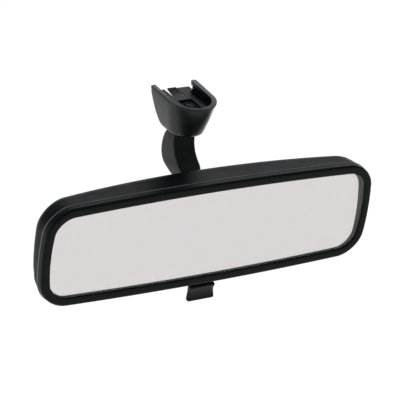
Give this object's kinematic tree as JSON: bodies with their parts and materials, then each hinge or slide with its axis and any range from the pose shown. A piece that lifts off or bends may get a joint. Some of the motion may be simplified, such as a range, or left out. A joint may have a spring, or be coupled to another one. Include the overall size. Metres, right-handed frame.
{
  "type": "interior rearview mirror",
  "caption": "Day and night interior mirror on a curved double-ball stalk, with a slide-on windscreen foot, wide rounded housing and a finger lever under the glass.",
  "frame": {"origin": "centre of the clip plate's top face inside the foot's channel, which the button bonded to the windscreen bears on", "axes": "+X along the mirror head, to the right of a person looking into the glass; +Y away from that person, out of the foot's open end; +Z out of the foot's seat, towards the windscreen button"},
  "size_m": [0.224, 0.0652, 0.1158],
  "materials": {
    "shell_plastic": "fine-grained black plastic",
    "bezel_plastic": "satin black plastic",
    "foot_plastic": "satin black plastic",
    "stalk_plastic": "satin black plastic",
    "lever_plastic": "satin black plastic",
    "liner_plastic": "natural low-friction plastic",
    "clip_steel": "black-coated spring steel",
    "bracket_steel": "zinc-plated steel",
    "ball_steel": "ground and oiled steel",
    "mirror_glass": "clear, faintly green prism glass with ground edges",
    "mirror_silver": "silvered mirror coat",
    "coat_paint": "matt protective back paint",
    "pad_foam": "soft closed-cell foam"
  },
  "bodies": {
    "foot": {"foot_shoe": "foot_plastic", "button_clip": "clip_steel", "upper_retaining_ring": "bracket_steel"},
    "upper_liner": {"upper_ball_liner": "liner_plastic"},
    "stalk": {"stalk_arm": "stalk_plastic", "upper_ball_stud": "ball_steel", "lower_ball_stud": "ball_steel"},
    "rear_cup": {"lower_cup_rear": "liner_plastic"},
    "front_cup": {"lower_cup_front": "liner_plastic"},
    "bracket": {"toggle_bracket": "bracket_steel", "ball_clamp_plate": "bracket_steel", "clamp_screw_left": "bracket_steel", "clamp_screw_right": "bracket_steel", "clamp_nut_left": "bracket_steel", "clamp_nut_right": "bracket_steel", "detent_spring": "bracket_steel", "night_pivot_pin": "bracket_steel"},
    "head": {"rear_housing": "shell_plastic", "front_bezel": "bezel_plastic", "prism_glass": "mirror_glass", "silver_coat": "mirror_silver", "coat_backing": "coat_paint", "glass_pad_left": "pad_foam", "glass_pad_right": "pad_foam", "pivot_bearing_left": "shell_plastic", "pivot_bearing_right": "shell_plastic", "lever_pin": "bracket_steel"},
    "lever": {"day_night_lever": "lever_plastic"}
  },
  "joints": [
    {"name": "stalk_pan", "type": "hinge", "parent": "foot", "child": "upper_liner", "pos_m": [0, -0.0095, -0.0054], "axis": [0, 0, 1], "range_deg": [-12, 12]},
    {"name": "stalk_tilt", "type": "hinge", "parent": "upper_liner", "child": "stalk", "pos_m": [0, -0.0095, -0.0054], "axis": [1, 0, 0], "range_deg": [-8, 8]},
    {"name": "head_tilt", "type": "hinge", "parent": "stalk", "child": "rear_cup", "pos_m": [0, -0.036, -0.054], "axis": [1, 0, 0], "range_deg": [-12, 12]},
    {"name": "head_pan", "type": "hinge", "parent": "rear_cup", "child": "front_cup", "pos_m": [0, -0.036, -0.054], "axis": [0, 0, 1], "range_deg": [-15, 15]},
    {"name": "head_roll", "type": "hinge", "parent": "front_cup", "child": "bracket", "pos_m": [0, -0.036, -0.054], "axis": [0, 1, 0], "range_deg": [-10, 10]},
    {"name": "night_tilt", "type": "hinge", "parent": "bracket", "child": "head", "pos_m": [0, -0.038, -0.0725], "axis": [1, 0, 0], "range_deg": [0, 4]},
    {"name": "lever_flip", "type": "hinge", "parent": "head", "child": "lever", "pos_m": [0, -0.041, -0.0905], "axis": [1, 0, 0], "range_deg": [0, 32]}
  ],
  "couplings": [
    {"joint": "lever_flip", "follows": "night_tilt", "ratio": 8}
  ]
}
